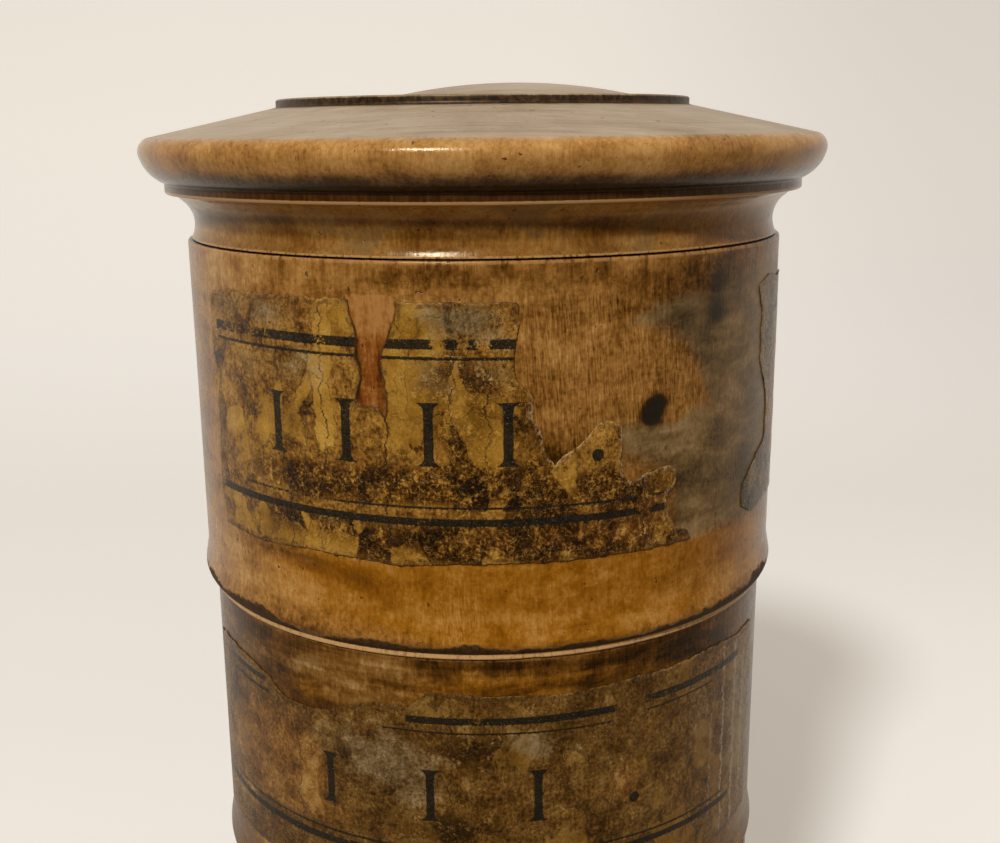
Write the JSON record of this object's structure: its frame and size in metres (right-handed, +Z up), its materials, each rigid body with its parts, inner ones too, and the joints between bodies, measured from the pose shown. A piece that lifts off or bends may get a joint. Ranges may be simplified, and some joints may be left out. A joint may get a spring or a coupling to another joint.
{
  "type": "spice tower",
  "caption": "Turned wooden spice tower: cups that screw one onto another, with worn paper labels, under a moulded overhanging lid with a raised disc and low crown.",
  "frame": {"origin": "centre of the ring that the foot stands on", "axes": "+Z up the turning axis, through the crown of the lid; -Y towards the front of the labels"},
  "size_m": [0.0934, 0.0934, 0.2001],
  "materials": {
    "lid_wood": "satin",
    "golden_wood": "satin",
    "dark_wood": "satin",
    "tan_paper": "satin",
    "dark_paper": "satin"
  },
  "bodies": {
    "bottom_cup": {"bottom_tier": "dark_wood", "bottom_label": "dark_paper"},
    "third_cup": {"third_tier": "dark_wood", "third_label": "dark_paper"},
    "second_cup": {"second_tier": "dark_wood", "second_label": "dark_paper"},
    "top_cup": {"top_tier": "golden_wood", "top_label": "tan_paper", "top_label_scrap": "tan_paper"},
    "lid": {"lid": "lid_wood"}
  },
  "joints": [
    {"name": "third_cup_lift", "type": "slide", "parent": "bottom_cup", "child": "third_cup", "axis": [0, 0, 1], "range_m": [0, 0.06]},
    {"name": "second_cup_lift", "type": "slide", "parent": "third_cup", "child": "second_cup", "axis": [0, 0, 1], "range_m": [0, 0.06]},
    {"name": "top_cup_lift", "type": "slide", "parent": "second_cup", "child": "top_cup", "axis": [0, 0, 1], "range_m": [0, 0.06]},
    {"name": "lid_lift", "type": "slide", "parent": "top_cup", "child": "lid", "axis": [0, 0, 1], "range_m": [0, 0.06]}
  ]
}
